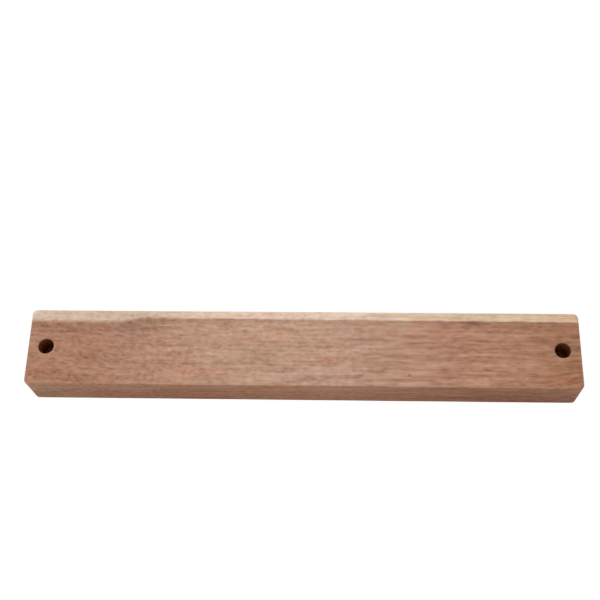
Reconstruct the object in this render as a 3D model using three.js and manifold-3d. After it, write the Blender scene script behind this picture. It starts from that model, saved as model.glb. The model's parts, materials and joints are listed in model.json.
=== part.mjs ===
// A wall-mounted magnetic knife bar.
//
// A hardwood bar is routed from behind until only a thin face of wood is left in front. Two rows of
// block magnets on a steel yoke lie against that face, so a blade laid on the front bridges the rows.
// A packing strip keeps the yoke forward, and a panel screwed flush into the back closes the bar.
// A bored and counterbored hole near each end takes the wall screws.
//
// Units are millimetres. +X runs along the bar to the right, +Y into the wall and +Z up.
// The origin is the centre of the back face, on the wall's plane.

import * as THREE from "three";
import { mergeVertices } from "three/addons/utils/BufferGeometryUtils.js";
import Module from "manifold-3d";

const wasm = await Module();
wasm.setup();

// ---- Driving dimensions ----

// The hardwood bar.
const barLength = 350;
const barHeight = 50;
const barDepth = 30;
const barCornerRadius = 3; // the four corners, seen from the front
const barEdgeRadius = 1.2; // the sanded edges round the front and the back

// The wall screw holes.
const wallScrewEndDistance = 11.5; // from the bar's end to the hole's axis
const wallScrewHeadBore = 10;
const wallScrewShankBore = 6;
const wallScrewSeatThickness = 14; // wood between the screw head and the wall
const wallScrewRimEase = 0.4; // the sanded rim of the head bore

// The wood left round the pocket for the magnets.
const faceThickness = 2.5; // between the magnets and the blades
const endWall = 5; // between a head bore and the recess of the panel
const ledgeWidth = 7; // the shelf that the panel lies on
const pilotWall = 1.2; // between the pocket and the pilot holes in the ledge
const pocketCornerRadius = 5; // left by the router bit

// The magnets, in two rows of blocks.
const magnetLength = 20;
const magnetHeight = 10;
const magnetThickness = 5;
const magnetChamfer = 0.4;
const magnetsPerRow = 11;
const magnetRowGap = 4; // between the upper and the lower row

// The steel yoke behind the magnets, and the back panel.
const yokeThickness = 2;
const panelThickness = 3;

// The countersunk screws of the back panel.
const panelScrewLength = 12;
const panelScrewHeadDiameter = 4.8;
const panelScrewHeadHeight = 1.4;
const panelScrewSink = 0.2; // the head's top lies this far below the panel
const panelScrewThreadDiameter = 2.5;
const panelScrewCoreDiameter = 1.8;
const panelScrewThreadPitch = 1.1;
const panelScrewTipLength = 2;
const panelScrewCrossLength = 2.6;
const panelScrewCrossWidth = 0.6;
const panelScrewCrossDepth = 0.9;
const panelScrewEndInset = 22; // from the recess's end to the outer screws
const panelScrewColumns = 3; // screws along each ledge

// Clearances.
const fitClearance = 0.5; // round what drops into the pocket or the recess
const glueLine = 0.25; // between faces that are glued or packed together
const screwClearance = 0.3; // round a screw in its pilot hole and its countersink

// How finely round shapes are cut into flat faces, and how far a cutter runs past a face.
const cornerSteps = 6;
const magnetCornerSteps = 2;
const edgeSteps = 3;
const boreSteps = 32;
const screwSteps = 16;
const past = 1;

// ---- Sizes and places that follow ----

const wallScrewX = barLength / 2 - wallScrewEndDistance;
const pilotDiameter = panelScrewThreadDiameter + 2 * screwClearance;

// Along X and Z.
const recessLength = 2 * (wallScrewX - wallScrewHeadBore / 2 - endWall);
const pocketLength = recessLength - 2 * ledgeWidth;
const pocketHeight = 2 * magnetHeight + magnetRowGap + 2 * fitClearance;
const recessHeight = pocketHeight + 2 * ledgeWidth;
const recessCornerRadius = pocketCornerRadius + ledgeWidth;
const magnetRowZ = (magnetRowGap + magnetHeight) / 2;
const firstMagnetX = -pocketLength / 2 + pocketCornerRadius + magnetLength / 2;
const magnetPitch = (-2 * firstMagnetX) / (magnetsPerRow - 1);
const panelScrewZ = pocketHeight / 2 + pilotWall + pilotDiameter / 2;
const firstPanelScrewX = -recessLength / 2 + panelScrewEndInset;
const panelScrewPitch = (-2 * firstPanelScrewX) / (panelScrewColumns - 1);

// From front to back, along Y.
const frontFace = -barDepth;
const pocketFloor = frontFace + faceThickness;
const magnetFront = pocketFloor + glueLine;
const yokeFront = magnetFront + magnetThickness;
const packingFront = yokeFront + yokeThickness + glueLine;
const packingBack = -panelThickness - glueLine;
const recessFloor = -panelThickness;

// ---- Solid modelling helpers ----

/** A closed geometry as a solid that can be cut. */
function solidOf(geometry) {
  const bare = geometry.clone();
  bare.deleteAttribute("normal");
  bare.deleteAttribute("uv");
  const merged = mergeVertices(bare, 1e-4);
  return new wasm.Manifold(
    new wasm.Mesh({
      numProp: 3,
      vertProperties: merged.getAttribute("position").array,
      triVerts: new Uint32Array(merged.index.array),
    }),
  );
}

/** A solid as a flat-shaded geometry. */
function geometryOf(solid) {
  const mesh = solid.getMesh();
  const indexed = new THREE.BufferGeometry();
  indexed.setAttribute("position", new THREE.BufferAttribute(mesh.vertProperties, mesh.numProp));
  indexed.setIndex(new THREE.BufferAttribute(mesh.triVerts, 1));
  const flat = indexed.toNonIndexed();
  flat.computeVertexNormals();
  return flat;
}

/** The first geometry with the others cut out of it. */
function cut(geometry, ...cutters) {
  const cutAway = (solid, cutter) => solid.subtract(solidOf(cutter));
  return geometryOf(cutters.reduce(cutAway, solidOf(geometry)));
}

/** A rectangle with round corners, centred on the origin. */
function roundedRectangle(width, height, radius) {
  const x = width / 2 - radius;
  const y = height / 2 - radius;
  const shape = new THREE.Shape();
  shape.absarc(x, y, radius, 0, Math.PI / 2);
  shape.absarc(-x, y, radius, Math.PI / 2, Math.PI);
  shape.absarc(-x, -y, radius, Math.PI, 1.5 * Math.PI);
  shape.absarc(x, -y, radius, 1.5 * Math.PI, 2 * Math.PI);
  return shape;
}

/** A plate of an outline seen from the front, from y = front to y = back, with eased edges. */
function plate(shape, front, back, { ease = 0, easeSteps = 1, curveSegments = cornerSteps } = {}) {
  const geometry = new THREE.ExtrudeGeometry(shape, {
    depth: back - front - 2 * ease,
    curveSegments,
    bevelEnabled: ease > 0,
    bevelSize: ease,
    bevelThickness: ease,
    bevelOffset: -ease,
    bevelSegments: easeSteps,
  });
  const standing = new THREE.Matrix4().makeBasis(
    new THREE.Vector3(1, 0, 0),
    new THREE.Vector3(0, 0, 1),
    new THREE.Vector3(0, -1, 0),
  );
  return geometry.applyMatrix4(standing).translate(0, back - ease, 0);
}

/** A round bar or a cone on the Y axis, from y = front to y = back. */
function round(frontDiameter, backDiameter, front, back, steps = boreSteps) {
  const geometry = new THREE.CylinderGeometry(
    backDiameter / 2,
    frontDiameter / 2,
    back - front,
    steps,
  );
  return geometry.translate(0, (front + back) / 2, 0);
}

/** A named mesh with a material of its own. */
function piece(name, geometry, color, roughness, metalness) {
  const material = new THREE.MeshStandardMaterial({ color, roughness, metalness });
  const mesh = new THREE.Mesh(geometry, material);
  mesh.name = name;
  return mesh;
}

// ---- The pieces ----

/** The name and the centre of each panel screw, in a row along the upper and the lower ledge. */
function panelScrewPlaces() {
  const places = [];
  for (const [row, z] of [["upper", panelScrewZ], ["lower", -panelScrewZ]]) {
    for (let column = 0; column < panelScrewColumns; column += 1) {
      const x = firstPanelScrewX + column * panelScrewPitch;
      places.push({ name: `panel_screw_${row}_${column + 1}`, x, z });
    }
  }
  return places;
}

/** The shank bore, the head bore and the eased rim of one wall screw hole, on the Y axis. */
function wallScrewHoleCutters() {
  const seat = -wallScrewSeatThickness;
  const rimDiameter = wallScrewHeadBore + 2 * (wallScrewRimEase + past);
  return [
    round(wallScrewShankBore, wallScrewShankBore, seat - past, past),
    round(wallScrewHeadBore, wallScrewHeadBore, frontFace - past, seat),
    round(rimDiameter, wallScrewHeadBore, frontFace - past, frontFace + wallScrewRimEase),
  ];
}

/** The hardwood bar, with its wall screw holes, magnet pocket, panel recess and pilot holes. */
function hardwoodBar() {
  const blank = plate(roundedRectangle(barLength, barHeight, barCornerRadius), frontFace, 0, {
    ease: barEdgeRadius,
    easeSteps: edgeSteps,
  });
  const pocketOutline = roundedRectangle(pocketLength, pocketHeight, pocketCornerRadius);
  const recessOutline = roundedRectangle(recessLength, recessHeight, recessCornerRadius);
  const wallScrewHoles = [-wallScrewX, wallScrewX].flatMap((x) =>
    wallScrewHoleCutters().map((cutter) => cutter.translate(x, 0, 0)),
  );
  const pilotEnd = -panelScrewSink - panelScrewLength - screwClearance;
  const pilotHoles = panelScrewPlaces().map(({ x, z }) =>
    round(pilotDiameter, pilotDiameter, pilotEnd, past, screwSteps).translate(x, 0, z),
  );
  const geometry = cut(
    blank,
    plate(pocketOutline, pocketFloor, past),
    plate(recessOutline, recessFloor, past),
    ...wallScrewHoles,
    ...pilotHoles,
  );
  return piece("hardwood_bar", geometry, 0x9a6b52, 0.6, 0);
}

/** Both rows of block magnets, each with its back pole on the yoke. */
function magnets() {
  const outline = roundedRectangle(magnetLength, magnetHeight, 2 * magnetChamfer);
  const rows = new THREE.Group();
  for (const [row, z] of [["upper", magnetRowZ], ["lower", -magnetRowZ]]) {
    for (let index = 0; index < magnetsPerRow; index += 1) {
      const name = `magnet_${row}_${String(index + 1).padStart(2, "0")}`;
      const geometry = plate(outline, 0, magnetThickness, {
        ease: magnetChamfer,
        curveSegments: magnetCornerSteps,
      });
      const magnet = piece(name, geometry, 0xc9cbc8, 0.25, 1);
      magnet.position.set(firstMagnetX + index * magnetPitch, magnetFront, z);
      rows.add(magnet);
    }
  }
  return rows;
}

/** A strip that drops into the pocket with clearance all round. */
function pocketStrip(front, back) {
  const outline = roundedRectangle(
    pocketLength - 2 * fitClearance,
    pocketHeight - 2 * fitClearance,
    pocketCornerRadius - fitClearance,
  );
  return plate(outline, front, back);
}

/** The steel strip that joins the magnets' back poles. */
function steelYoke() {
  return piece("steel_yoke", pocketStrip(yokeFront, yokeFront + yokeThickness), 0x8d9093, 0.4, 1);
}

/** The softwood strip between the yoke and the panel. */
function packingStrip() {
  return piece("packing_strip", pocketStrip(packingFront, packingBack), 0xd8b98a, 0.8, 0);
}

/** The plywood back panel, flush with the bar's back, with a countersunk hole for each screw. */
function backPanel() {
  const outline = roundedRectangle(
    recessLength - 2 * fitClearance,
    recessHeight - 2 * fitClearance,
    recessCornerRadius - fitClearance,
  );
  const sinkDiameter = panelScrewHeadDiameter + 2 * screwClearance;
  const sinkTop = -panelScrewSink;
  const sinkEnd = sinkTop - panelScrewHeadHeight;
  const holes = panelScrewPlaces().flatMap(({ x, z }) =>
    [
      round(pilotDiameter, pilotDiameter, recessFloor - past, sinkTop, screwSteps),
      round(pilotDiameter, sinkDiameter, sinkEnd, sinkTop, screwSteps),
      round(sinkDiameter, sinkDiameter, sinkTop, past, screwSteps),
    ].map((cutter) => cutter.translate(x, 0, z)),
  );
  return piece("back_panel", cut(plate(outline, recessFloor, 0), ...holes), 0xc9a779, 0.7, 0);
}

/** One countersunk wood screw on the Y axis, with its head's top on y = 0 and its tip towards -Y. */
function panelScrewGeometry() {
  const coreRadius = panelScrewCoreDiameter / 2;
  const tipTop = -panelScrewLength + panelScrewTipLength;
  const threadTop = -panelScrewHeadHeight - panelScrewThreadPitch;
  const profile = [new THREE.Vector2(0, -panelScrewLength), new THREE.Vector2(coreRadius, tipTop)];
  for (let y = tipTop; y + panelScrewThreadPitch < threadTop; y += panelScrewThreadPitch) {
    profile.push(new THREE.Vector2(panelScrewThreadDiameter / 2, y + panelScrewThreadPitch / 2));
    profile.push(new THREE.Vector2(coreRadius, y + panelScrewThreadPitch));
  }
  profile.push(new THREE.Vector2(coreRadius, -panelScrewHeadHeight));
  profile.push(new THREE.Vector2(panelScrewHeadDiameter / 2, 0));
  profile.push(new THREE.Vector2(0, 0));
  const crossDepth = 2 * panelScrewCrossDepth;
  return cut(
    new THREE.LatheGeometry(profile, screwSteps),
    new THREE.BoxGeometry(panelScrewCrossLength, crossDepth, panelScrewCrossWidth),
    new THREE.BoxGeometry(panelScrewCrossWidth, crossDepth, panelScrewCrossLength),
  );
}

/** The screws that hold the back panel. */
function panelScrews() {
  const screws = new THREE.Group();
  for (const { name, x, z } of panelScrewPlaces()) {
    const screw = piece(name, panelScrewGeometry(), 0xb9b4a6, 0.35, 1);
    screw.position.set(x, -panelScrewSink, z);
    screws.add(screw);
  }
  return screws;
}

// ---- The assembly ----

const knifeBar = new THREE.Group();
knifeBar.add(hardwoodBar(), magnets(), steelYoke(), packingStrip(), backPanel(), panelScrews());

export default knifeBar;
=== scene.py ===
"""The looks of a wall-mounted magnetic knife bar.

The bar is one piece of oiled hardwood with a band of pale sapwood along its top edge. It is made again here
with sanded edges and clean bores, and its plywood back panel and panel screws are made as pieces of their
own. The magnets, the steel yoke and the packing strip inside keep the frame's shapes and get their finishes
here. Sizes are in metres unless a name ends in MM, and textures are laid out in millimetres.
"""

import json
import math

import bpy
from mathutils import Matrix, Vector, noise


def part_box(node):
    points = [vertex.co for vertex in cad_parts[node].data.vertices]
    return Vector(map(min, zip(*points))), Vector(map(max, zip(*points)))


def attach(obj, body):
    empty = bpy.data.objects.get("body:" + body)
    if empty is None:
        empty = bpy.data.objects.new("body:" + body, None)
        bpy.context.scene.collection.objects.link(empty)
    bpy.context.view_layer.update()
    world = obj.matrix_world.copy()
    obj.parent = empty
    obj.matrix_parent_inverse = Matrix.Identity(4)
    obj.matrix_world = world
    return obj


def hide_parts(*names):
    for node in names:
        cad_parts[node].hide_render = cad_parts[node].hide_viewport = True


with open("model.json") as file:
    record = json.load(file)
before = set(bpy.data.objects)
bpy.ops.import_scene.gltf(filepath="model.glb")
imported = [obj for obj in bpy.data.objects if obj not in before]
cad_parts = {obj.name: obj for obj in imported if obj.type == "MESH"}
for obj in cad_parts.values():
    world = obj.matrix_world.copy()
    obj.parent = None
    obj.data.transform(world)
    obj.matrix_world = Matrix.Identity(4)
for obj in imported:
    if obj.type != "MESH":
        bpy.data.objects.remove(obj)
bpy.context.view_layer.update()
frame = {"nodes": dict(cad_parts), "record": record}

MM = 0.001

# ---- Sizes that the frame doesn't hold, as on the drawing of the bar ----

BAR_CORNER_RADIUS = 3 * MM
BAR_EDGE_RADIUS = 1.2 * MM
WALL_SCREW_HEAD_BORE = 10 * MM
WALL_SCREW_SHANK_BORE = 6 * MM
WALL_SCREW_RIM = 0.4 * MM
FACE_THICKNESS = 2.5 * MM
FIT_CLEARANCE = 0.5 * MM
RECESS_CORNER_RADIUS = 12 * MM
POCKET_CORNER_RADIUS = 5 * MM
PANEL_EDGE_RADIUS = 0.3 * MM
PILOT_DIAMETER = 3.1 * MM
PANEL_SCREW_HEAD_HEIGHT = 1.4 * MM
PANEL_SCREW_HEAD_RIM = 0.12 * MM
PANEL_SCREW_NECK = 0.8 * MM
PANEL_SCREW_TIP = 2 * MM
PANEL_SCREW_THREAD_DIAMETER = 2.5 * MM
PANEL_SCREW_CORE_DIAMETER = 1.8 * MM
PANEL_SCREW_THREAD_PITCH = 1.1 * MM
SCREW_CLEARANCE = 0.3 * MM
CROSS_LENGTH = 2.6 * MM
CROSS_WIDTH = 0.6 * MM
CROSS_DEPTH = 0.9 * MM

# ---- How the meshes are made ----

# A cutter reaches past the face it cuts. A pitch longer than any side leaves a straight side in one run.
OVERCUT = 1 * MM
WHOLE_RUN = 1.0
BAR_EDGE_PITCH = 4 * MM
PANEL_EDGE_PITCH = 6 * MM
BORE_FACETS = 64
BORE_RIM_STEPS = 5
COUNTERSINK_FACETS = 40
PILOT_FACETS = 24
SCREW_FACETS = 28
THREAD_ROWS_A_TURN = 10

# ---- Places from the frame ----

bar_low, bar_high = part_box("hardwood_bar")
panel_low, panel_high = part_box("back_panel")
yoke_low, yoke_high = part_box("steel_yoke")
screw_names = sorted(name for name in frame["nodes"] if name.startswith("panel_screw_"))
magnet_names = sorted(name for name in frame["nodes"] if name.startswith("magnet_"))
screw_seats = [m["pos_m"] for m in frame["record"]["mounts"] if m["name"].startswith("screw_seat_")]
head_bores = [o["box_m"] for o in frame["record"]["physics"]["openings"] if "head_bore" in o["name"]]
wall_screw_places = [(Vector(low) + Vector(high)) / 2 for low, high in head_bores]
seat_y = screw_seats[0][1]


# ---- Mesh making ----


def mesh_object(name, vertices, faces):
    """A mesh object in the scene."""
    mesh = bpy.data.meshes.new(name)
    mesh.from_pydata([tuple(v) for v in vertices], [], faces)
    mesh.validate()
    made = bpy.data.objects.new(name, mesh)
    bpy.context.scene.collection.objects.link(made)
    return made


def outline(length, height, radius, corner_steps, pitch=WHOLE_RUN):
    """Points round an upright rectangle with round corners, each with its outward direction."""
    points = []
    reach = Vector((length / 2 - radius, 0, height / 2 - radius))
    for quarter in range(4):
        turn = quarter * math.pi / 2
        centre = Vector((
            reach.x if quarter in (0, 3) else -reach.x,
            0,
            reach.z if quarter in (0, 1) else -reach.z,
        ))
        for step in range(corner_steps + 1):
            angle = turn + step / corner_steps * math.pi / 2
            outward = Vector((math.cos(angle), 0, math.sin(angle)))
            points.append((centre + outward * radius, outward))
        outward = Vector((math.cos(turn + math.pi / 2), 0, math.sin(turn + math.pi / 2)))
        along = Vector((-outward.z, 0, outward.x))
        run = 2 * (reach.x if quarter % 2 == 0 else reach.z)
        stops = max(1, round(run / pitch))
        start = centre + outward * radius
        points += [(start + along * run * stop / stops, outward) for stop in range(1, stops)]
    return points


def round_point(place, radius, depth, angle):
    """A point at a radius and an angle round a line along Y."""
    return Vector((place.x + radius * math.cos(angle), depth, place.z + radius * math.sin(angle)))


def circle(place, radius, depth, steps):
    """Points round a circle that faces along Y."""
    return [round_point(place, radius, depth, 2 * math.pi * step / steps) for step in range(steps)]


def ringed_solid(name, rings):
    """A closed solid through rings of equally many points, from its front end to its back end."""
    count = len(rings[0])
    vertices = [point for ring in rings for point in ring]
    faces = [list(range(count))]
    for ring in range(len(rings) - 1):
        start = ring * count
        for index in range(count):
            after = (index + 1) % count
            faces.append([start + index, start + count + index, start + count + after, start + after])
    faces.append([(len(rings) - 1) * count + index for index in reversed(range(count))])
    return mesh_object(name, vertices, faces)


def block(name, shape, middle, front, back, ease=0, steps=1):
    """A plate of an outline between two depths. Its edges are eased by a radius, or by a rule for one."""

    def edge_ring(depth, inward, angle):
        ring = []
        for point, outward in shape:
            radius = ease(point) if callable(ease) else ease
            inset = radius * (1 - math.sin(angle))
            sunk = radius * (1 - math.cos(angle))
            ring.append(middle + point - outward * inset + Vector((0, depth + inward * sunk, 0)))
        return ring

    angles = [step / steps * math.pi / 2 for step in range(steps + 1)] if ease else [0]
    front_rings = [edge_ring(front, 1, angle) for angle in angles]
    back_rings = [edge_ring(back, -1, angle) for angle in reversed(angles)]
    return ringed_solid(name, front_rings + back_rings)


def turned(name, profile, place, steps):
    """A solid turned about a line along Y: the profile gives its radius and depth from front to back."""
    return ringed_solid(name, [circle(place, radius, depth, steps) for radius, depth in profile])


def cut_away(piece, cutters):
    """Cuts solids out of a piece and removes them."""
    for cutter in cutters:
        tool = piece.modifiers.new("cut", "BOOLEAN")
        tool.operation = "DIFFERENCE"
        tool.solver = "EXACT"
        tool.object = cutter
    keep_result(piece)
    for cutter in cutters:
        bpy.data.objects.remove(cutter)


def keep_result(piece):
    """Applies a piece's modifiers to its mesh."""
    bpy.context.view_layer.update()
    graph = bpy.context.evaluated_depsgraph_get()
    mesh = bpy.data.meshes.new_from_object(piece.evaluated_get(graph))
    piece.modifiers.clear()
    piece.data = mesh
    mesh.name = piece.name


def smooth(piece, sharp_degrees):
    """Shades a piece smooth between its sharp edges, with its flat faces left flat."""
    piece.data.shade_smooth()
    piece.data.set_sharp_from_angle(angle=math.radians(sharp_degrees))
    weighted = piece.modifiers.new("flat faces stay flat", "WEIGHTED_NORMAL")
    weighted.keep_sharp = True
    weighted.weight = 100


# ---- Node making ----


class Tree:
    """Adds nodes to a node tree. An input given a socket is linked, and any other is set."""

    def __init__(self, tree):
        self.tree = tree

    def put(self, socket, value):
        """Links or sets one input."""
        if isinstance(value, bpy.types.NodeSocket):
            self.tree.links.new(value, socket)
        else:
            socket.default_value = value

    def node(self, kind, inputs=None, **settings):
        """A new node with its settings and inputs."""
        made = self.tree.nodes.new("ShaderNode" + kind)
        for name, value in settings.items():
            setattr(made, name, value)
        for name, value in (inputs or {}).items():
            self.put(made.inputs[name], value)
        return made

    def math(self, operation, *values, clamp=False):
        """A sum on numbers."""
        made = self.node("Math", operation=operation, use_clamp=clamp)
        for socket, value in zip(made.inputs, values):
            self.put(socket, value)
        return made.outputs[0]

    def times(self, value, share):
        """One number times another."""
        return self.math("MULTIPLY", value, share)

    def add(self, *values):
        """The sum of several numbers."""
        total = values[0]
        for value in values[1:]:
            total = self.math("ADD", total, value)
        return total

    def swing(self, value, amount):
        """A texture about 0.5 as a number about 0, made larger or smaller."""
        return self.times(self.math("SUBTRACT", value, 0.5), amount)

    def vector(self, operation, *values):
        """A sum on points, which gives a point or, for a length, a number."""
        made = self.node("VectorMath", operation=operation)
        for socket, value in zip(made.inputs, values):
            self.put(socket, value)
        return made.outputs["Value" if operation == "LENGTH" else "Vector"]

    def parts(self, vector):
        """The X, Y and Z of a point."""
        return self.node("SeparateXYZ", {0: vector}).outputs

    def joined(self, x, y, z):
        """A point from its X, Y and Z."""
        return self.node("CombineXYZ", {0: x, 1: y, 2: z}).outputs[0]

    def spread(self, value, low, high, to_low=0.0, to_high=1.0, kind="SMOOTHSTEP"):
        """A value carried from one range to another, and held at its ends."""
        made = self.node("MapRange", interpolation_type=kind)
        for socket, given in zip(made.inputs, (value, low, high, to_low, to_high)):
            self.put(socket, given)
        return made.outputs[0]

    def between(self, share, at_none, at_full):
        """A value that goes evenly from one number to another as a share goes from 0 to 1."""
        return self.spread(share, 0.0, 1.0, at_none, at_full, "LINEAR")

    def ramp(self, value, stops):
        """A colour that follows a value through its stops."""
        made = self.node("ValToRGB", {0: value})
        ramp = made.color_ramp
        while len(ramp.elements) < len(stops):
            ramp.elements.new(1.0)
        for element, (place, color) in zip(ramp.elements, stops):
            element.position = place
            element.color = (*color, 1.0)
        return made.outputs[0]

    def mix(self, share, a, b, blend="MIX"):
        """One colour mixed with another."""
        made = self.node("Mix", data_type="RGBA", blend_type=blend)
        self.put(made.inputs[0], share)
        for index, color in ((6, a), (7, b)):
            self.put(made.inputs[index], color if isinstance(color, bpy.types.NodeSocket) else (*color, 1.0))
        return made.outputs[2]

    def tinted(self, color, tint, share):
        """A colour multiplied by a tint where a mask is 1."""
        return self.mix(share, color, self.mix(1.0, color, tint, "MULTIPLY"))

    def use(self, group, inputs):
        """Places a node group and returns its outputs."""
        made = self.tree.nodes.new("ShaderNodeGroup")
        made.node_tree = group
        for name, value in inputs.items():
            self.put(made.inputs[name], value)
        return made.outputs


def new_group(name, inputs, outputs):
    """A shader node group with named inputs, each with its usual value, and named outputs."""
    group = bpy.data.node_groups.new(name, "ShaderNodeTree")
    kinds = {float: "NodeSocketFloat", tuple: "NodeSocketVector"}
    for label, usual in inputs.items():
        socket = group.interface.new_socket(label, in_out="INPUT", socket_type=kinds[type(usual)])
        socket.default_value = usual
    for label in outputs:
        group.interface.new_socket(label, in_out="OUTPUT", socket_type="NodeSocketFloat")
    tree = Tree(group)
    given = group.nodes.new("NodeGroupInput").outputs
    return tree, given, group.nodes.new("NodeGroupOutput").inputs


def linear(red, green, blue):
    """A colour given as it looks, from 0 to 255, as the shader counts it."""
    channels = []
    for level in (red, green, blue):
        share = level / 255
        channels.append(share / 12.92 if share <= 0.04045 else ((share + 0.055) / 1.055) ** 2.4)
    return tuple(channels)


# ---- Effects that several finishes share ----


def shifted(tree, point, lot):
    """A point moved to another place in a texture, so that two uses of it differ."""
    return tree.vector("ADD", point, tree.joined(lot, lot, lot))


def make_fibres():
    """Streaks along X: noise drawn out to a length and a width in millimetres, about 0.5."""
    tree, given, out = new_group(
        "fibres",
        {"Point": (0.0, 0.0, 0.0), "Length": 20.0, "Width": 1.0, "Detail": 2.0, "Lot": 0.0},
        ["Value"],
    )
    x, y, z = tree.parts(given["Point"])
    drawn = tree.joined(
        tree.math("DIVIDE", x, given["Length"]),
        tree.math("DIVIDE", y, given["Width"]),
        tree.math("DIVIDE", z, given["Width"]),
    )
    place = shifted(tree, drawn, given["Lot"])
    cloud = tree.node(
        "TexNoise",
        {"Vector": place, "Scale": 1.0, "Detail": given["Detail"], "Roughness": 0.55},
    )
    tree.put(out["Value"], cloud.outputs[0])
    return tree.tree


def make_pores():
    """Short dashes along X: 1 in the middle of a pore and 0 in the wood round it."""
    tree, given, out = new_group(
        "pores",
        {"Point": (0.0, 0.0, 0.0), "Length": 5.0, "Width": 0.4, "Share": 0.5, "Lot": 0.0},
        ["Mask"],
    )
    x, y, z = tree.parts(given["Point"])
    spacing = 2.2
    cell_x = tree.times(given["Length"], spacing * 0.6)
    cell_yz = tree.times(given["Width"], spacing)
    drawn = tree.joined(
        tree.math("DIVIDE", x, cell_x),
        tree.math("DIVIDE", y, cell_yz),
        tree.math("DIVIDE", z, cell_yz),
    )
    place = shifted(tree, drawn, given["Lot"])
    cells = tree.node("TexVoronoi", {"Vector": place, "Scale": 1.0, "Randomness": 1.0}).outputs
    near = tree.spread(cells["Distance"], 0.16, 0.42, 1.0, 0.0)
    picks = tree.parts(cells["Color"])
    chosen = tree.math("LESS_THAN", picks["X"], given["Share"])
    depth = tree.between(picks["Y"], 0.35, 1.0)
    tree.put(out["Mask"], tree.times(tree.times(near, chosen), depth))
    return tree.tree


def make_rings():
    """Growth rings about a heart that runs along X: 0 in early wood, rising to 1 in a late line."""
    tree, given, out = new_group(
        "growth rings",
        {"Point": (0.0, 0.0, 0.0), "Heart": (0.0, 0.0, -90.0), "Spacing": 4.0, "Wander": 1.0},
        ["Radius", "Line"],
    )
    from_heart = tree.vector("SUBTRACT", given["Point"], given["Heart"])
    across = tree.vector("MULTIPLY", from_heart, (0.0, 1.0, 1.0))
    slow_point = tree.vector("MULTIPLY", given["Point"], (0.012, 0.05, 0.05))
    wander = tree.node("TexNoise", {"Vector": slow_point, "Scale": 1.0, "Detail": 2.0}).outputs[0]
    radius = tree.add(tree.vector("LENGTH", across), tree.swing(wander, given["Wander"]))
    turn = tree.math("FRACT", tree.math("DIVIDE", radius, given["Spacing"]))
    rise = tree.math("POWER", turn, 3.0)
    fall = tree.spread(turn, 0.9, 1.0, 1.0, 0.0)
    tree.put(out["Radius"], radius)
    tree.put(out["Line"], tree.times(rise, fall))
    return tree.tree


def make_edge_band():
    """The strip along a block's edges, from 1 on an edge to 0 at a width from it, in millimetres."""
    tree, given, out = new_group(
        "edge band",
        {"Point": (0.0, 0.0, 0.0), "Middle": (0.0, 0.0, 0.0), "Half Size": (10.0, 10.0, 10.0), "Width": 1.0},
        ["Mask"],
    )
    away = tree.vector("ABSOLUTE", tree.vector("SUBTRACT", given["Point"], given["Middle"]))
    x, y, z = tree.parts(tree.vector("SUBTRACT", given["Half Size"], away))
    low = tree.math("MINIMUM", x, y)
    high = tree.math("MAXIMUM", x, y)
    second = tree.math("MAXIMUM", low, tree.math("MINIMUM", high, z))
    tree.put(out["Mask"], tree.spread(second, 0.0, given["Width"], 1.0, 0.0))
    return tree.tree


def make_soft_patch():
    """A soft patch: 1 at its centre and 0 past its reach, in millimetres."""
    tree, given, out = new_group(
        "soft patch",
        {"Point": (0.0, 0.0, 0.0), "Centre": (0.0, 0.0, 0.0), "Reach": (10.0, 10.0, 10.0)},
        ["Mask"],
    )
    away = tree.vector("DIVIDE", tree.vector("SUBTRACT", given["Point"], given["Centre"]), given["Reach"])
    tree.put(out["Mask"], tree.spread(tree.vector("LENGTH", away), 0.1, 1.0, 1.0, 0.0))
    return tree.tree


fibres_group = make_fibres()
pores_group = make_pores()
rings_group = make_rings()
edge_band_group = make_edge_band()
soft_patch_group = make_soft_patch()


def fibres(tree, point, length, width, detail, lot):
    """Streaks of one length and width in a finish."""
    return tree.use(
        fibres_group,
        {"Point": point, "Length": length, "Width": width, "Detail": detail, "Lot": lot},
    )["Value"]


def pores(tree, point, length, width, share, lot):
    """Pores of one length and width in a finish."""
    return tree.use(
        pores_group,
        {"Point": point, "Length": length, "Width": width, "Share": share, "Lot": lot},
    )["Mask"]


def worn_edges(tree, point, low, high, width):
    """The edges of a block between two corners, which are in metres."""
    return tree.use(edge_band_group, {
        "Point": point,
        "Middle": tuple((low + high) / 2 / MM),
        "Half Size": tuple((high - low) / 2 / MM),
        "Width": width,
    })["Mask"]


def soft_patch(tree, point, centre, reach):
    """A soft patch in a finish."""
    return tree.use(soft_patch_group, {"Point": point, "Centre": centre, "Reach": reach})["Mask"]


# ---- Finishes ----


def new_finish(name):
    """A material with its shader, and the point of the surface in millimetres."""
    material = bpy.data.materials.new(name)
    material.use_nodes = True
    tree = Tree(material.node_tree)
    shader = material.node_tree.nodes["Principled BSDF"]
    point = tree.vector("SCALE", tree.node("TexCoord").outputs["Object"])
    point.node.inputs["Scale"].default_value = 1 / MM
    return material, tree, shader, point


def facing(tree):
    """How squarely the surface faces along X, Y and Z, from 0 to 1."""
    return tree.parts(tree.vector("ABSOLUTE", tree.node("TexCoord").outputs["Normal"]))


def bump(tree, height, depth_mm):
    """A normal from a height between 0 and 1 that stands for a depth in millimetres."""
    return tree.node("Bump", {"Height": height, "Distance": depth_mm * MM, "Strength": 1.0}).outputs[0]


# The pith of the tree that the bar was cut from, the space between its rings, and the ring where its
# sapwood begins.
PITH = (0.0, -4.0, -95.0)
RING_SPACING = 5.5
SAPWOOD_RADIUS = 117.9

# How far a streak or a stain fades out past its stated half size, and how deep a stain goes.
STREAK_FADE = 1.5
STAIN_FADE = 1.3
FRONT_STAIN_DEPTH = 14.0
UNDERSIDE_STAIN_DEPTH = 8.0

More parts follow.
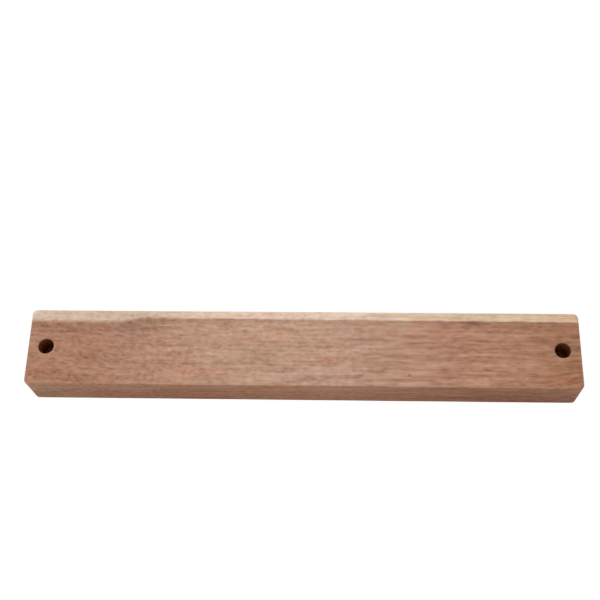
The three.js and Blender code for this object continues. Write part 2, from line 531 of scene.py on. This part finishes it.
# Streaks that show on the bar's front: x, z, half length and half width in millimetres, and darkness,
# which is below 0 where a streak is lighter than the wood round it.
HEARTWOOD_STREAKS = [
    (-99, -19.2, 10, 0.9, 0.22),
    (-134, -19.6, 4, 1.0, 0.22),
    (-71, -10.8, 16, 1.0, 0.16),
    (-53, -10.5, 7, 1.0, 0.20),
    (-70, -1.7, 13, 1.3, 0.12),
    (-13, -1.5, 8, 0.9, 0.18),
    (-22, -10.4, 4, 0.9, 0.22),
    (-23, -15.8, 6, 0.8, 0.14),
    (17, 1.3, 19, 1.1, 0.16),
    (34, -18.3, 9, 1.2, 0.18),
    (46, -15.8, 11, 1.1, 0.20),
    (68, 2.5, 14, 1.1, 0.24),
    (69, -5.4, 15, 1.1, 0.17),
    (108, 3.7, 11, 1.0, 0.24),
    (137, 3.2, 13, 1.0, 0.18),
    (113, -5.0, 16, 1.0, 0.17),
    (90, -14.2, 7, 1.0, 0.16),
    (118, -14.2, 5, 1.1, 0.22),
    (137, -11.7, 4, 1.0, 0.22),
    (153, -17.5, 7, 1.1, 0.16),
    (67, -16.8, 1.6, 0.8, 0.6),
    (112, 22.8, 12, 1.6, -0.12),
    (-12, 22.8, 12, 1.6, -0.10),
]

# Stains on the bar's front: x, z, half length and half height in millimetres, and a tint.
HEARTWOOD_STAINS = [
    (-106, 15, 15, 5.0, (0.82, 0.84, 0.84)),
    (-93, 18.5, 12, 3.0, (0.76, 0.80, 0.80)),
    (-140, 14, 36, 4.5, (0.88, 0.86, 0.86)),
    (-48, 17, 11, 3.5, (0.90, 0.82, 0.80)),
    (26, 17, 9, 2.5, (0.88, 0.85, 0.83)),
    (46, 15.5, 9, 2.5, (0.90, 0.88, 0.86)),
    (73, 17, 8, 2.5, (0.90, 0.80, 0.80)),
    (108, 17.8, 8, 2.0, (0.58, 0.56, 0.56)),
    (-15, 8.5, 9, 4.0, (1.05, 0.93, 0.86)),
    (-32, 6.7, 10, 1.8, (1.0, 0.86, 0.84)),
    (18, -8, 11, 4.0, (1.0, 0.88, 0.87)),
    (2, -9, 8, 2.5, (1.0, 0.90, 0.88)),
    (-68, -17, 26, 5.0, (1.10, 1.03, 1.01)),
    (88, 12, 10, 4.0, (1.0, 0.89, 0.87)),
    (-164, -17, 14, 8.0, (0.98, 0.90, 0.87)),
    (160, 12.5, 10, 4.0, (0.98, 1.01, 0.92)),
    (40, -4, 20, 3.5, (0.94, 0.93, 0.92)),
    (163, -20, 14, 6.0, (1.02, 0.97, 0.90)),
    (-113, 11, 10, 4.0, (0.88, 0.90, 0.90)),
    (-150, 10.5, 26, 4.0, (0.92, 0.93, 0.93)),
    (-88, 4, 9, 3.5, (0.95, 0.94, 0.94)),
    (-48, -12, 48, 3.6, (0.86, 0.85, 0.84)),
    (134, 18, 44, 3.0, (0.88, 0.88, 0.92)),
    (164, 3, 14, 6.0, (0.85, 0.85, 0.85)),
    (136, -4, 14, 3.5, (0.87, 0.87, 0.87)),
    (-72, 17.5, 18, 2.5, (0.88, 0.90, 0.92)),
    (-150, -20, 18, 3.5, (0.95, 0.94, 0.93)),
    (-100, 11, 14, 3.5, (0.93, 0.94, 0.94)),
    (-62, 3, 12, 3.0, (0.93, 0.93, 0.94)),
    (-8, -12.5, 14, 3.0, (0.93, 0.91, 0.91)),
    (38, -20, 12, 3.0, (0.92, 0.92, 0.91)),
    (88, 17, 10, 2.5, (0.92, 0.95, 0.98)),
    (62, 17, 9, 2.5, (0.80, 0.93, 0.95)),
    (2, -20, 30, 3.0, (0.90, 0.89, 0.89)),
    (-12, 17, 11, 3.0, (1.04, 1.10, 1.14)),
]

# Stains on its underside: x, y, half length and half width in millimetres, and a tint.
UNDERSIDE_STAINS = [
    (-163, -15, 16, 11, (0.93, 1.0, 0.97)),
    (-125, -13, 9, 9, (0.98, 0.91, 0.95)),
    (-60, -10, 30, 7, (1.03, 0.97, 0.93)),
    (76, -16, 26, 9, (0.97, 1.0, 0.90)),
    (112, -13, 13, 10, (0.92, 0.84, 0.83)),
    (163, -13, 13, 10, (0.96, 0.99, 1.03)),
    (138, -25, 10, 5, (0.94, 0.84, 0.80)),
]

# The wood's own colours from the bar's left end to its right end.
HEARTWOOD_COLORS = [
    (0.0, linear(175, 129, 104)),
    (0.11, linear(175, 129, 104)),
    (0.25, linear(184, 141, 117)),
    (0.37, linear(191, 152, 128)),
    (0.5, linear(191, 153, 129)),
    (0.61, linear(187, 147, 124)),
    (0.75, linear(182, 137, 113)),
    (0.88, linear(176, 129, 103)),
    (1.0, linear(161, 114, 87)),
]
# The colours of the top, underside and ends from left to right: the wood's tones along the bar, made darker
# and redder than the front's as painted shade.
SHADED_SIDE_COLORS = [
    (0.0, linear(169, 125, 97)),
    (0.12, linear(164, 118, 89)),
    (0.25, linear(160, 112, 83)),
    (0.4, linear(165, 117, 88)),
    (0.55, linear(167, 119, 91)),
    (0.75, linear(156, 108, 77)),
    (0.9, linear(149, 100, 73)),
    (1.0, linear(157, 111, 83)),
]
SAPWOOD_COLORS = [
    (0.0, linear(216, 191, 170)),
    (0.2, linear(213, 184, 161)),
    (0.35, linear(229, 198, 176)),
    (0.6, linear(228, 199, 176)),
    (0.8, linear(220, 192, 165)),
    (0.92, linear(219, 189, 160)),
    (1.0, linear(217, 182, 152)),
]
WORN_WOOD = linear(214, 178, 150)
# The dark brown of the painted shade inside the wall screw bores.
BORE_SHADE_COLOR = linear(124, 67, 36)


def curliness(tree, x, z):
    """1 where the grain is curly, at the left end and along the top, and 0 where it is straight."""
    left = tree.spread(x, -55.0, -110.0)
    top = tree.times(tree.spread(x, 22.0, -20.0), tree.spread(z, -2.0, 6.0))
    return tree.math("MAXIMUM", left, tree.times(top, 0.8))


def grain_place(tree, point, drift, curly):
    """The point bent the way that the grain runs.

    The grain runs straight along the bar, but it falls to the right near the left end and rises at the lower
    right corner. It sways more where it is curly.
    """
    x, y, z = tree.parts(point)
    fall = tree.spread(x, -162.0, -105.0, 5.0, 0.0)
    rise = tree.times(tree.spread(x, 148.0, 178.0, 0.0, 5.0), tree.spread(z, -8.0, -18.0))
    sway = tree.between(curly, 1.9, 7.5)
    drift_x, drift_y, drift_z = tree.parts(drift)
    return tree.joined(
        tree.add(x, tree.swing(drift_x, 6.0)),
        tree.add(y, tree.swing(drift_y, sway)),
        tree.add(z, tree.times(fall, -1.0), tree.times(rise, -1.0), tree.swing(drift_z, sway)),
    )


def hardwood_fibres(tree, place, x, curly):
    """The layers that make the grain, by name. Where it is curly, fibres surface in short strokes."""
    stroke_length = tree.add(4.3, tree.times(curly, -0.6), tree.spread(x, 40.0, 90.0, 0.0, 1.4))
    return {
        "broad": fibres(tree, place, length=80.0, width=5.0, detail=2.0, lot=3.0),
        "long": fibres(tree, place, length=40.0, width=2.3, detail=1.0, lot=9.0),
        "strokes": fibres(tree, place, length=stroke_length, width=2.25, detail=1.0, lot=17.0),
        "fine": fibres(tree, place, length=9.0, width=0.7, detail=1.0, lot=31.0),
        "dashes": pores(tree, place, length=4.0, width=0.8, share=0.55, lot=5.0),
    }


def hardwood_grain(tree, layers, x, curly):
    """The grain as a number about 0, below it where the wood is darker."""
    straight_end = tree.spread(x, 15.0, 60.0)
    stroke_share = tree.math("SUBTRACT", 0.73, tree.times(straight_end, 0.08))
    long_share = tree.add(tree.between(curly, 0.78, 0.50), tree.times(straight_end, 0.12))
    figure = tree.add(tree.swing(layers["strokes"], stroke_share), tree.swing(layers["long"], long_share))
    darker = tree.spread(figure, -0.03, -0.20, 0.0, 0.06)
    return tree.add(
        figure,
        tree.times(darker, -1.0),
        tree.swing(layers["broad"], 0.34),
        tree.swing(layers["fine"], 0.17),
        tree.times(layers["dashes"], tree.between(curly, -0.18, -0.30)),
    )


def with_streaks(tree, grain, patch_place):
    """The grain with the front's separate streaks."""
    flat = tree.vector("MULTIPLY", patch_place, (1.0, 0.0, 1.0))
    for x, z, half_length, half_width, darkness in HEARTWOOD_STREAKS:
        mask = soft_patch(tree, flat, (x, 0.0, z), (half_length, 1.0, half_width * STREAK_FADE))
        grain = tree.math("SUBTRACT", grain, tree.times(mask, darkness))
    return grain


def heartwood(tree, point, patch_place, along, sides):
    """The heartwood's colour: it changes along the bar, stains lie over it, and the top, underside and ends
    take darker, redder colours as painted shade.
    """
    front = tree.ramp(along, HEARTWOOD_COLORS)
    for x, z, half_length, half_height, tint in HEARTWOOD_STAINS:
        reach = (half_length * STAIN_FADE, FRONT_STAIN_DEPTH, half_height * STAIN_FADE)
        front = tree.tinted(front, tint, soft_patch(tree, patch_place, (x, bar_low.y / MM, z), reach))
    blotch = fibres(tree, point, length=11.0, width=3.0, detail=2.0, lot=53.0)
    blotch_tint = tree.ramp(blotch, [(0.3, (0.97, 1.02, 1.03)), (0.7, (1.03, 0.98, 0.97))])
    front = tree.mix(1.0, front, blotch_tint, "MULTIPLY")

    # Painted shade: the top, underside and ends take these darker, redder colours.
    shaded_side = tree.ramp(along, SHADED_SIDE_COLORS)
    for x, y, half_length, half_width, tint in UNDERSIDE_STAINS:
        reach = (half_length * STAIN_FADE, half_width * STAIN_FADE, UNDERSIDE_STAIN_DEPTH)
        shaded_side = tree.tinted(shaded_side, tint, soft_patch(tree, patch_place, (x, y, bar_low.z / MM), reach))
    return tree.mix(sides, front, shaded_side)


def past_sapwood_ring(tree, point, x, radius):
    """How far outside the sapwood's first ring a point lies. The ring steps up some way in from the left."""
    step_up = tree.spread(x, -118.0, -99.0, -2.6, 0.0)
    slope = tree.spread(x, -98.0, 175.0, -0.2, -1.0, "LINEAR")
    ragged = tree.swing(fibres(tree, point, length=8.0, width=3.0, detail=3.0, lot=41.0), 1.5)
    beyond = tree.math("SUBTRACT", radius, SAPWOOD_RADIUS)
    return tree.math("SUBTRACT", beyond, tree.add(step_up, slope, ragged))


def sapwood_share(tree, beyond, x):
    """1 in the sapwood and 0 in the heartwood, with a softer border at the left."""
    softness = tree.spread(x, -125.0, -60.0, 1.8, 0.6)
    return tree.spread(beyond, tree.times(softness, -1.0), softness)


def border_shade(tree, beyond, broad, x):
    """How much darker the heartwood is just inside the sapwood."""
    band = tree.times(tree.spread(beyond, -4.5, -0.8), tree.spread(beyond, 1.5, 0.0))
    uneven = tree.times(band, tree.spread(broad, 0.3, 0.7, 0.03, 0.12, "LINEAR"))
    return tree.times(uneven, tree.spread(x, -60.0, -110.0, 1.0, 1.6))


def end_grain(tree, point, ring_line):
    """The grain of the sawn ends: rings as arcs, pores as dots, and rays."""
    dots = pores(tree, point, length=0.7, width=0.5, share=0.5, lot=11.0)
    rays = fibres(tree, point, length=6.0, width=1.1, detail=2.0, lot=23.0)
    return tree.add(tree.times(ring_line, -0.42), tree.times(dots, -0.50), tree.swing(rays, 0.45), 0.12)


def grained(tree, wood, grain):
    """A colour with its grain. A darker streak is a little redder too, which a power of the colour gives."""
    power = tree.math("SUBTRACT", 1.0, tree.times(grain, 0.51))
    bright = tree.add(1.0, tree.times(grain, 0.44))
    deeper = tree.node("Gamma", {0: wood, 1: power}).outputs[0]
    return tree.mix(1.0, deeper, tree.joined(bright, bright, bright), "MULTIPLY")


def with_painted_bore_shade(tree, wood, point, y):
    """The wood with painted shade darkening its bores, behind a clean rim."""
    head_radius = WALL_SCREW_HEAD_BORE / MM / 2
    step = (WALL_SCREW_HEAD_BORE - WALL_SCREW_SHANK_BORE) / MM / 2
    bore_shade_skin = 0.06
    seat_skin = 0.3
    front = bar_low.y / MM
    for place in wall_screw_places:
        middle = (place.x / MM, 0.0, place.z / MM)
        across = tree.vector("MULTIPLY", tree.vector("SUBTRACT", point, middle), (1.0, 0.0, 1.0))
        past_seat = tree.math("GREATER_THAN", y, seat_y / MM + seat_skin)
        reach = tree.math("SUBTRACT", head_radius + bore_shade_skin, tree.times(past_seat, step))
        inside = tree.math("LESS_THAN", tree.vector("LENGTH", across), reach)
        # Painted shade covers the bore walls and the seat, from just behind the rim inward.
        bore_shade = tree.times(inside, tree.spread(y, front + 0.3, front + 1.2))
        wood = tree.mix(bore_shade, wood, BORE_SHADE_COLOR)
    return wood


def oiled_hardwood():
    """Brown heartwood under a band of pale sapwood, sanded and oiled."""
    material, tree, shader, point = new_finish("oiled hardwood")
    x, y, z = tree.parts(point)
    squareness = facing(tree)
    sides = tree.spread(squareness["Y"], 0.9, 0.4)
    ends = tree.spread(squareness["X"], 0.6, 0.9)
    underside = tree.times(sides, tree.spread(z, -20.0, -24.0))
    along = tree.spread(x, bar_low.x / MM, bar_high.x / MM, 0.0, 1.0, "LINEAR")

    slow_point = tree.vector("MULTIPLY", point, (0.03, 0.09, 0.09))
    drift = tree.node("TexNoise", {"Vector": slow_point, "Scale": 1.0, "Detail": 2.0}).outputs["Color"]
    even_drift = tree.vector("SUBTRACT", drift, (0.5, 0.5, 0.5))
    patch_place = tree.vector("ADD", point, tree.vector("MULTIPLY", even_drift, (14.0, 6.0, 5.0)))

    curly = curliness(tree, x, z)
    layers = hardwood_fibres(tree, grain_place(tree, point, drift, curly), x, curly)
    grain = with_streaks(tree, hardwood_grain(tree, layers, x, curly), patch_place)

    ring = tree.use(rings_group, {"Point": point, "Heart": PITH, "Spacing": RING_SPACING, "Wander": 0.0})
    beyond = past_sapwood_ring(tree, point, x, ring["Radius"])
    sap_share = sapwood_share(tree, beyond, x)
    heart = heartwood(tree, point, patch_place, along, sides)
    wood = tree.mix(sap_share, heart, tree.ramp(along, SAPWOOD_COLORS))

    # The grain is fainter on the ends, in the sapwood and on the underside, which is mottled instead.
    grain = tree.math("SUBTRACT", grain, border_shade(tree, beyond, layers["broad"], x))
    side_grain = tree.times(grain, tree.math("SUBTRACT", 1.0, tree.times(ends, 0.8)))
    grain = tree.add(side_grain, tree.times(end_grain(tree, point, ring["Line"]), ends))
    strength = tree.times(tree.between(sap_share, 1.0, 0.95), tree.spread(underside, 0.0, 1.0, 1.0, 0.7))
    mottle = tree.swing(fibres(tree, point, length=5.0, width=2.8, detail=2.0, lot=61.0), 0.45)
    grain = tree.add(tree.times(tree.times(grain, strength), 0.94), tree.times(mottle, underside))
    wood = grained(tree, wood, grain)

    # Painted shade darkens the sides towards the wall, and end grain is darker still.
    # The painted shade grows from none at the sides' front edge to its most at the wall.
    depth = tree.spread(y, -29.0, -3.0, 0.0, 0.21)
    wall_shade_and_end_grain = tree.add(1.0, tree.times(sides, depth), tree.times(ends, 0.22))
    wood = tree.node("Gamma", {0: wood, 1: wall_shade_and_end_grain}).outputs[0]

    # Edges are a little lighter where hands and knives have rubbed.
    worn = worn_edges(tree, point, bar_low, bar_high, 1.6)
    wood = tree.mix(tree.times(worn, 0.14), wood, WORN_WOOD)
    tree.put(shader.inputs["Base Color"], with_painted_bore_shade(tree, wood, point, y))

    dull_pores = tree.times(layers["dashes"], 0.12)
    rough = tree.add(0.58, tree.swing(layers["long"], -0.25), dull_pores, tree.times(ends, 0.12))
    tree.put(shader.inputs["Roughness"], rough)
    shader.inputs["Specular IOR Level"].default_value = 0.15
    open_pores = tree.times(layers["dashes"], -0.7)
    relief = tree.add(tree.swing(layers["fine"], 0.5), tree.swing(layers["long"], 0.4), open_pores)
    tree.put(shader.inputs["Normal"], bump(tree, relief, 0.05))
    return material


def birch_plywood():
    """Pale sanded birch: faint grain on the face, and the plies on the rim."""
    material, tree, shader, point = new_finish("birch plywood")
    ply_pair = 1.5
    broad = fibres(tree, point, length=60.0, width=5.0, detail=3.0, lot=2.0)
    fine = fibres(tree, point, length=9.0, width=0.45, detail=2.0, lot=7.0)
    flecks = pores(tree, point, length=2.6, width=0.28, share=0.35, lot=1.0)
    face = tree.ramp(tree.add(tree.times(broad, 0.6), tree.times(fine, 0.4)), [
        (0.3, linear(196, 163, 120)),
        (0.5, linear(212, 182, 140)),
        (0.7, linear(222, 196, 158)),
    ])
    face = tree.mix(tree.times(flecks, 0.35), face, linear(150, 112, 74))
    ply = tree.math("FRACT", tree.times(tree.parts(point)["Y"], 1 / ply_pair))
    cross_ply = tree.math("GREATER_THAN", ply, 0.5)
    rim = tree.mix(cross_ply, linear(190, 152, 108), linear(150, 112, 76))
    wood = tree.mix(tree.spread(facing(tree)["Y"], 0.7, 0.4), face, rim)
    worn = worn_edges(tree, point, panel_low, panel_high, 1.2)
    wood = tree.mix(tree.times(worn, 0.3), wood, linear(176, 138, 96))
    tree.put(shader.inputs["Base Color"], wood)
    tree.put(shader.inputs["Roughness"], tree.spread(fine, 0.3, 0.7, 0.62, 0.78, "LINEAR"))
    shader.inputs["Specular IOR Level"].default_value = 0.3
    relief = tree.math("SUBTRACT", tree.times(fine, 0.6), flecks)
    tree.put(shader.inputs["Normal"], bump(tree, relief, 0.05))
    return material


def planed_softwood():
    """Straight pine with a clear pattern of late wood lines."""
    material, tree, shader, point = new_finish("planed softwood")
    ring = tree.use(
        rings_group,
        {"Point": point, "Heart": (0.0, 40.0, -30.0), "Spacing": 2.6, "Wander": 5.0},
    )
    fine = fibres(tree, point, length=14.0, width=0.5, detail=2.0, lot=3.0)
    wood = tree.mix(ring["Line"], linear(226, 196, 146), linear(190, 140, 84))
    wood = tree.mix(tree.spread(fine, 0.3, 0.7, 0.0, 0.22, "LINEAR"), wood, linear(176, 132, 84))
    tree.put(shader.inputs["Base Color"], wood)
    tree.put(shader.inputs["Roughness"], tree.spread(fine, 0.3, 0.7, 0.66, 0.82, "LINEAR"))
    tree.put(shader.inputs["Normal"], bump(tree, tree.add(fine, ring["Line"]), 0.05))
    return material


def plated_metal(name, light, dark, shiny, dull, cloud_size, worn_color=None, corners=None):
    """Plated or bare steel, clouded and faintly rubbed, with worn edges where its two corners are given."""
    material, tree, shader, point = new_finish(name)
    clouds = tree.node(
        "TexNoise",
        {"Vector": point, "Scale": 1 / cloud_size, "Detail": 4.0, "Roughness": 0.6},
    ).outputs[0]
    rubbed = fibres(tree, point, length=12.0, width=0.12, detail=3.0, lot=4.0)
    tone = tree.add(tree.times(clouds, 0.7), tree.times(rubbed, 0.3))
    metal = tree.ramp(tone, [(0.3, dark), (0.7, light)])
    if corners:
        worn = worn_edges(tree, point, *corners, 0.8)
        metal = tree.mix(tree.times(worn, 0.35), metal, worn_color)
    tree.put(shader.inputs["Base Color"], metal)
    shader.inputs["Metallic"].default_value = 1.0
    tree.put(shader.inputs["Roughness"], tree.spread(tone, 0.3, 0.7, dull, shiny, "LINEAR"))
    tree.put(shader.inputs["Normal"], bump(tree, rubbed, 0.004))
    return material


# ---- The pieces ----

# How far the sanding of the bar's edge varies, as shares of its radius, and how near to a corner.
EDGE_WANDER = 0.22
CORNER_FULLNESS = 0.25
CORNER_REACH = 7 * MM


def hand_eased(point):
    """The sanded radius of the bar's edge: it wanders along the edge and is fuller at the corners."""
    wander = noise.noise(Vector((point.x * 28, 0.3, point.z * 45))) * EDGE_WANDER
    from_corner = (Vector((abs(point.x), 0, abs(point.z))) - Vector((bar_high.x, 0, bar_high.z))).length
    fuller = CORNER_FULLNESS * max(0.0, 1 - from_corner / CORNER_REACH)
    return BAR_EDGE_RADIUS * (1 + wander + fuller)


def wall_screw_bore(place):
    """The cutter for one wall screw hole: its eased rim, head bore, seat and shank bore."""
    head = WALL_SCREW_HEAD_BORE / 2
    shank = WALL_SCREW_SHANK_BORE / 2
    profile = [(head + WALL_SCREW_RIM, bar_low.y - OVERCUT)]
    for step in range(BORE_RIM_STEPS + 1):
        angle = step / BORE_RIM_STEPS * math.pi / 2
        profile.append((
            head + WALL_SCREW_RIM * (1 - math.sin(angle)),
            bar_low.y + WALL_SCREW_RIM * (1 - math.cos(angle)),
        ))
    profile += [(head, seat_y), (shank, seat_y), (shank, OVERCUT)]
    return turned("wall screw bore", profile, place, BORE_FACETS)


def pocket_cutters():
    """The cutters for the panel's recess and the magnets' pocket."""
    recess = panel_high - panel_low + Vector((1, 0, 1)) * 2 * FIT_CLEARANCE
    pocket = yoke_high - yoke_low + Vector((1, 0, 1)) * 2 * FIT_CLEARANCE
    centre = Vector((0, 0, 0))
    recess_shape = outline(recess.x, recess.z, RECESS_CORNER_RADIUS, corner_steps=16)
    pocket_shape = outline(pocket.x, pocket.z, POCKET_CORNER_RADIUS, corner_steps=12)
    return [
        block("recess", recess_shape, centre, panel_low.y, OVERCUT),
        block("pocket", pocket_shape, centre, bar_low.y + FACE_THICKNESS, OVERCUT),
    ]


def pilot_hole(screw_name):
    """The cutter for the hole that a panel screw bites into."""
    low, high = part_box(screw_name)
    profile = [(PILOT_DIAMETER / 2, low.y - SCREW_CLEARANCE), (PILOT_DIAMETER / 2, OVERCUT)]
    return turned("pilot hole", profile, (low + high) / 2, PILOT_FACETS)


def hardwood_bar(finish):
    """The bar itself, with its bores, recess, pocket and pilot holes."""
    size = bar_high - bar_low
    middle = Vector(((bar_low.x + bar_high.x) / 2, 0, (bar_low.z + bar_high.z) / 2))
    shape = outline(size.x, size.z, BAR_CORNER_RADIUS, corner_steps=12, pitch=BAR_EDGE_PITCH)
    bar = block("bar_wood", shape, middle, bar_low.y, bar_high.y, ease=hand_eased, steps=8)
    bores = [wall_screw_bore(place) for place in wall_screw_places]
    cut_away(bar, pocket_cutters() + bores + [pilot_hole(name) for name in screw_names])
    bar.data.materials.append(finish)
    smooth(bar, sharp_degrees=35)
    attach(bar, "root")
    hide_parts("hardwood_bar")


def countersink(screw_name):
    """The cutter for one of the panel's screw holes."""
    low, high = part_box(screw_name)
    pilot = PILOT_DIAMETER / 2
    mouth = (high.x - low.x) / 2 + SCREW_CLEARANCE
    profile = [
        (pilot, panel_low.y - OVERCUT),
        (pilot, high.y - PANEL_SCREW_HEAD_HEIGHT),
        (mouth, high.y),
        (mouth, OVERCUT),
    ]
    return turned("countersink", profile, (low + high) / 2, COUNTERSINK_FACETS)


def back_panel(finish):
    """The plywood panel, with a countersunk hole for each screw."""
    size = panel_high - panel_low
    middle = Vector(((panel_low.x + panel_high.x) / 2, 0, (panel_low.z + panel_high.z) / 2))
    radius = RECESS_CORNER_RADIUS - FIT_CLEARANCE
    shape = outline(size.x, size.z, radius, corner_steps=16, pitch=PANEL_EDGE_PITCH)
    panel = block("panel_wood", shape, middle, panel_low.y, panel_high.y, ease=PANEL_EDGE_RADIUS, steps=4)
    cut_away(panel, [countersink(name) for name in screw_names])
    panel.data.materials.append(finish)
    smooth(panel, sharp_degrees=25)
    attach(panel, "root")
    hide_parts("back_panel")


def thread_rings(place, tip_y, end_y):
    """The rings of a screw's thread: a helical ridge on a core that tapers to a point."""
    core = PANEL_SCREW_CORE_DIAMETER / 2
    crest = PANEL_SCREW_THREAD_DIAMETER / 2 - core
    blunt_point = 0.04
    ridge_half_width = 0.28
    rows = round((end_y - tip_y) / PANEL_SCREW_THREAD_PITCH * THREAD_ROWS_A_TURN)
    rings = []
    for row in range(rows + 1):
        depth = tip_y + (end_y - tip_y) * row / rows
        taper = min(1.0, blunt_point + (depth - tip_y) / PANEL_SCREW_TIP)
        run_out = min(1.0, (end_y - depth) / PANEL_SCREW_THREAD_PITCH)
        ring = []
        for step in range(SCREW_FACETS):
            share = step / SCREW_FACETS
            phase = ((depth - tip_y) / PANEL_SCREW_THREAD_PITCH - share) % 1.0
            ridge = max(0.0, 1 - abs(phase - 0.5) / ridge_half_width)
            radius = (core + crest * ridge * run_out) * taper
            ring.append(round_point(place, radius, depth, 2 * math.pi * share))
        rings.append(ring)
    return rings


def head_rings(place, head, back_y):
    """The rings of a screw's countersunk head, with a thin rim."""
    profile = [
        (PANEL_SCREW_CORE_DIAMETER / 2, back_y - PANEL_SCREW_HEAD_HEIGHT),
        (head - 0.02 * MM, back_y - PANEL_SCREW_HEAD_RIM),
        (head, back_y - PANEL_SCREW_HEAD_RIM * 0.5),
        (head - 0.06 * MM, back_y),
    ]
    return [circle(place, radius, depth, SCREW_FACETS) for radius, depth in profile]


def cross_cutters(place, turn):
    """The two cutters for a screw's cross recess, turned as the screw was left."""
    cutters = []
    for quarter in range(2):
        arm = outline(CROSS_LENGTH, CROSS_WIDTH, CROSS_WIDTH * 0.3, corner_steps=3)
        cutter = block("cross", arm, Vector((0, 0, 0)), -CROSS_DEPTH, OVERCUT)
        cutter.data.transform(Matrix.Rotation(turn + quarter * math.pi / 2, 4, "Y"))
        cutter.data.transform(Matrix.Translation(place))
        cutters.append(cutter)
    return cutters


def panel_screw(node_name, finish):
    """A countersunk wood screw with a rolled thread and a cross recess."""
    low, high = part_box(node_name)
    place = (low + high) / 2
    head = (high.x - low.x) / 2
    thread_end = high.y - PANEL_SCREW_HEAD_HEIGHT - PANEL_SCREW_NECK
    rings = thread_rings(place, low.y, thread_end) + head_rings(place, head, high.y)
    screw = ringed_solid(node_name.replace("panel_screw", "woodscrew"), rings)
    turn = math.radians(23 + 61 * screw_names.index(node_name))
    cut_away(screw, cross_cutters(Vector((place.x, high.y, place.z)), turn))
    screw.data.materials.append(finish)
    smooth(screw, sharp_degrees=40)
    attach(screw, "root")
    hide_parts(node_name)


def refinish(name, finish):
    """Gives a CAD node another material."""
    frame["nodes"][name].material_slots[0].material = finish


hardwood_bar(oiled_hardwood())
back_panel(birch_plywood())

zinc = plated_metal(
    "zinc plating",
    light=linear(206, 200, 178),
    dark=linear(168, 160, 138),
    shiny=0.28,
    dull=0.5,
    cloud_size=1.5,
)
for screw_name in screw_names:
    panel_screw(screw_name, zinc)

for magnet_name in magnet_names:
    refinish(magnet_name, plated_metal(
        "nickel " + magnet_name,
        light=linear(214, 212, 202),
        dark=linear(178, 175, 166),
        shiny=0.14,
        dull=0.34,
        cloud_size=6.0,
        worn_color=linear(120, 116, 108),
        corners=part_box(magnet_name),
    ))

refinish("steel_yoke", plated_metal(
    "cold rolled steel",
    light=linear(158, 162, 166),
    dark=linear(118, 121, 125),
    shiny=0.3,
    dull=0.52,
    cloud_size=14.0,
    worn_color=linear(92, 90, 88),
    corners=(yoke_low, yoke_high),
))
refinish("packing_strip", planed_softwood())


# ---- The room ----

# The floor: half its width, how far it lies below the bar, and where its white begins and is full.
FLOOR_REACH = 40.0
FLOOR_DROP = 0.32
FLOOR_WHITE_FROM = 0.5
FLOOR_WHITE_AT = 1.6

# The camera: its lens and film in millimetres, its shift, and where it stands and how it is turned.
CAMERA_LENS = 63.006
CAMERA_FILM = 36
CAMERA_SHIFT = -0.05
CAMERA_PLACE_MM = (28.34, -654.00, -229.37)
CAMERA_TURN_DEGREES = (114.426, -1.332, 2.204)


def seen_rays(tree):
    """1 for what the camera sees, straight or in a gloss or through glass, and 0 for light on the bar."""
    path = tree.node("LightPath").outputs
    seen = tree.math("ADD", path["Is Camera Ray"], path["Is Glossy Ray"])
    return tree.math("ADD", seen, path["Is Transmission Ray"], clamp=True)


def pale_floor():
    """A pale floor well below the bar. It turns white far from the bar, and is clear from below."""
    level = bar_low.z - FLOOR_DROP
    sides = [(-1, -1), (1, -1), (1, 1), (-1, 1)]
    corners = [(x * FLOOR_REACH, y * FLOOR_REACH, level) for x, y in sides]
    floor = mesh_object("floor", corners, [[0, 1, 2, 3]])
    material, tree, shader, point = new_finish("pale floor")
    shader.inputs["Base Color"].default_value = (0.9, 0.9, 0.9, 1)
    shader.inputs["Roughness"].default_value = 0.9
    shader.inputs["Specular IOR Level"].default_value = 0.1
    away = tree.vector("LENGTH", tree.vector("MULTIPLY", point, (MM, MM, 0.0)))
    far = tree.times(tree.spread(away, FLOOR_WHITE_FROM, FLOOR_WHITE_AT), seen_rays(tree))
    white = tree.node("Emission", {"Color": (1, 1, 1, 1), "Strength": 1.0})
    above = tree.node("MixShader", {0: far, 1: shader.outputs[0], 2: white.outputs[0]})
    from_below = tree.node("NewGeometry").outputs["Backfacing"]
    clear = tree.node("BsdfTransparent")
    both = tree.node("MixShader", {0: from_below, 1: above.outputs[0], 2: clear.outputs[0]})
    tree.put(material.node_tree.nodes["Material Output"].inputs["Surface"], both.outputs[0])
    floor.data.materials.append(material)


def white_world():
    """White where it is seen, and a plain soft light where it isn't."""
    world = bpy.data.worlds.new("white world")
    bpy.context.scene.world = world
    world.use_nodes = True
    world.node_tree.nodes.clear()
    tree = Tree(world.node_tree)
    level = tree.between(seen_rays(tree), 0.75, 1.0)
    sky = tree.node("Background", {"Color": (1, 1, 1, 1), "Strength": level})
    tree.node("OutputWorld", {"Surface": sky.outputs[0]})


def softbox(name, place, size, power):
    """A large square lamp that faces the bar and isn't seen itself."""
    lamp = bpy.data.lights.new(name, "AREA")
    lamp.shape = "SQUARE"
    lamp.size = size
    lamp.energy = power
    holder = bpy.data.objects.new(name, lamp)
    holder.location = place
    holder.rotation_euler = (-Vector(place)).to_track_quat("-Z", "Y").to_euler()
    holder.visible_camera = False
    bpy.context.scene.collection.objects.link(holder)


def set_camera():
    """The camera below the bar's front, a little to its right."""
    camera = bpy.data.cameras.new("camera")
    camera.lens = CAMERA_LENS
    camera.sensor_width = CAMERA_FILM
    camera.shift_y = CAMERA_SHIFT
    holder = bpy.data.objects.new("camera", camera)
    holder.location = [distance * MM for distance in CAMERA_PLACE_MM]
    holder.rotation_euler = [math.radians(angle) for angle in CAMERA_TURN_DEGREES]
    bpy.context.scene.collection.objects.link(holder)
    bpy.context.scene.camera = holder


pale_floor()
white_world()
softbox("key lamp", place=(-0.7, -1.5, 0.9), size=1.4, power=6.5)
softbox("fill lamp", place=(1.1, -1.3, 0.1), size=1.2, power=2.3)
set_camera()

scene = bpy.context.scene
scene.view_settings.view_transform = "Standard"
